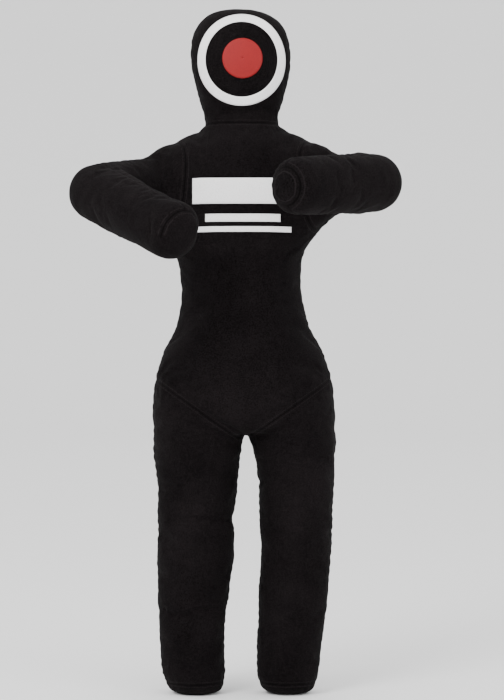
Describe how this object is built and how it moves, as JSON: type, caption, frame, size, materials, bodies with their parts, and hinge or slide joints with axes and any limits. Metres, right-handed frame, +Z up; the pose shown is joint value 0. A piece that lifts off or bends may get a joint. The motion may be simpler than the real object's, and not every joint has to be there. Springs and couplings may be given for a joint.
{
  "type": "grappling dummy",
  "caption": "Stuffed human-shaped canvas grappling dummy, standing, with bent arms, a target on the face and a zip in the back, for practising holds and throws.",
  "frame": {"origin": "on the floor, under the middle of the figure's outer box", "axes": "+Z up along the standing figure, -Y the way the face and chest look, +X to the figure's own left"},
  "size_m": [0.7064, 0.5482, 1.5195],
  "materials": {
    "canvas": "matte",
    "stuffing": "matte",
    "print_white": "matte",
    "print_red": "matte",
    "zip_tape": "matte",
    "zip_metal": "satin"
  },
  "bodies": {
    "pelvis": {"pelvis_stuffing": "stuffing", "pelvis_front_panel": "canvas", "pelvis_back_panel": "canvas"},
    "chest": {"chest_stuffing": "stuffing", "chest_front_panel": "canvas", "chest_back_panel": "canvas", "print_bar_top": "print_white", "print_bar_middle": "print_white", "print_bar_low": "print_white", "zip_tape_left": "zip_tape", "zip_tape_right": "zip_tape", "zip_chain": "zip_metal", "zip_top_stop": "zip_metal", "zip_bottom_stop": "zip_metal"},
    "zip_slider": {"zip_slider": "zip_metal"},
    "zip_pull": {"zip_pull": "zip_metal"},
    "neck": {"neck_stuffing": "stuffing"},
    "head": {"head_stuffing": "stuffing", "head_front_panel": "canvas", "head_back_panel": "canvas", "target_ring": "print_white", "target_spot": "print_red"},
    "shoulder_left": {"shoulder_left_stuffing": "stuffing"},
    "upper_arm_left": {"upper_arm_left_stuffing": "stuffing", "upper_arm_left_outer_panel": "canvas", "upper_arm_left_inner_panel": "canvas"},
    "forearm_left": {"forearm_left_stuffing": "stuffing", "forearm_left_outer_panel": "canvas", "forearm_left_inner_panel": "canvas", "forearm_left_end_patch": "canvas"},
    "hip_left": {"hip_left_stuffing": "stuffing"},
    "thigh_left": {"thigh_left_stuffing": "stuffing", "thigh_left_front_panel": "canvas", "thigh_left_back_panel": "canvas"},
    "shin_left": {"shin_left_stuffing": "stuffing", "shin_left_front_panel": "canvas", "shin_left_back_panel": "canvas", "shin_left_end_patch": "canvas"},
    "shoulder_right": {"shoulder_right_stuffing": "stuffing"},
    "upper_arm_right": {"upper_arm_right_stuffing": "stuffing", "upper_arm_right_outer_panel": "canvas", "upper_arm_right_inner_panel": "canvas"},
    "forearm_right": {"forearm_right_stuffing": "stuffing", "forearm_right_outer_panel": "canvas", "forearm_right_inner_panel": "canvas", "forearm_right_end_patch": "canvas"},
    "hip_right": {"hip_right_stuffing": "stuffing"},
    "thigh_right": {"thigh_right_stuffing": "stuffing", "thigh_right_front_panel": "canvas", "thigh_right_back_panel": "canvas"},
    "shin_right": {"shin_right_stuffing": "stuffing", "shin_right_front_panel": "canvas", "shin_right_back_panel": "canvas", "shin_right_end_patch": "canvas"}
  },
  "joints": [
    {"name": "waist_fold", "type": "hinge", "parent": "pelvis", "child": "chest", "pos_m": [0.008, 0.14, 0.93], "axis": [1, 0, 0], "range_deg": [-10, 40]},
    {"name": "neck_turn", "type": "hinge", "parent": "chest", "child": "neck", "pos_m": [0.008, 0.14, 1.262], "axis": [0, 0, 1], "range_deg": [-45, 45]},
    {"name": "neck_nod", "type": "hinge", "parent": "neck", "child": "head", "pos_m": [0.008, 0.14, 1.262], "axis": [1, 0, 0], "range_deg": [-20, 24]},
    {"name": "shoulder_left_sweep", "type": "hinge", "parent": "chest", "child": "shoulder_left", "pos_m": [0.198, 0.136, 1.13], "axis": [0, 0, 1], "range_deg": [-3, 50]},
    {"name": "shoulder_left_raise", "type": "hinge", "parent": "shoulder_left", "child": "upper_arm_left", "pos_m": [0.198, 0.136, 1.13], "axis": [-1, 0, 0], "range_deg": [-20, 45]},
    {"name": "elbow_left", "type": "hinge", "parent": "upper_arm_left", "child": "forearm_left", "pos_m": [0.287, -0.052, 1.119], "axis": [0.039, 0.0767, -0.9963], "range_deg": [-65, 12]},
    {"name": "hip_left_spread", "type": "hinge", "parent": "pelvis", "child": "hip_left", "pos_m": [0.1135, 0.11, 0.612], "axis": [0, -1, 0], "range_deg": [0, 25]},
    {"name": "hip_left_swing", "type": "hinge", "parent": "hip_left", "child": "thigh_left", "pos_m": [0.1135, 0.11, 0.612], "axis": [-1, 0, 0], "range_deg": [-15, 65]},
    {"name": "knee_left", "type": "hinge", "parent": "thigh_left", "child": "shin_left", "pos_m": [0.1135, 0.11, 0.358], "axis": [1, 0, 0], "range_deg": [0, 90]},
    {"name": "shoulder_right_sweep", "type": "hinge", "parent": "chest", "child": "shoulder_right", "pos_m": [-0.182, 0.136, 1.13], "axis": [0, 0, -1], "range_deg": [-3, 50]},
    {"name": "shoulder_right_raise", "type": "hinge", "parent": "shoulder_right", "child": "upper_arm_right", "pos_m": [-0.182, 0.136, 1.13], "axis": [-1, 0, 0], "range_deg": [-20, 45]},
    {"name": "elbow_right", "type": "hinge", "parent": "upper_arm_right", "child": "forearm_right", "pos_m": [-0.303, -0.044, 1.106], "axis": [0.2373, -0.2834, 0.9292], "range_deg": [-70, 12]},
    {"name": "hip_right_spread", "type": "hinge", "parent": "pelvis", "child": "hip_right", "pos_m": [-0.0975, 0.11, 0.612], "axis": [0, 1, 0], "range_deg": [0, 25]},
    {"name": "hip_right_swing", "type": "hinge", "parent": "hip_right", "child": "thigh_right", "pos_m": [-0.0975, 0.11, 0.612], "axis": [-1, 0, 0], "range_deg": [-15, 65]},
    {"name": "knee_right", "type": "hinge", "parent": "thigh_right", "child": "shin_right", "pos_m": [-0.0975, 0.11, 0.358], "axis": [1, 0, 0], "range_deg": [0, 90]},
    {"name": "zip_slide", "type": "slide", "parent": "chest", "child": "zip_slider", "axis": [0, -0.0801, -0.9968], "range_m": [0, 0.128]},
    {"name": "zip_pull_swing", "type": "hinge", "parent": "zip_slider", "child": "zip_pull", "pos_m": [0.008, 0.26669, 1.12442], "axis": [1, 0, 0], "range_deg": [0, 110]}
  ]
}
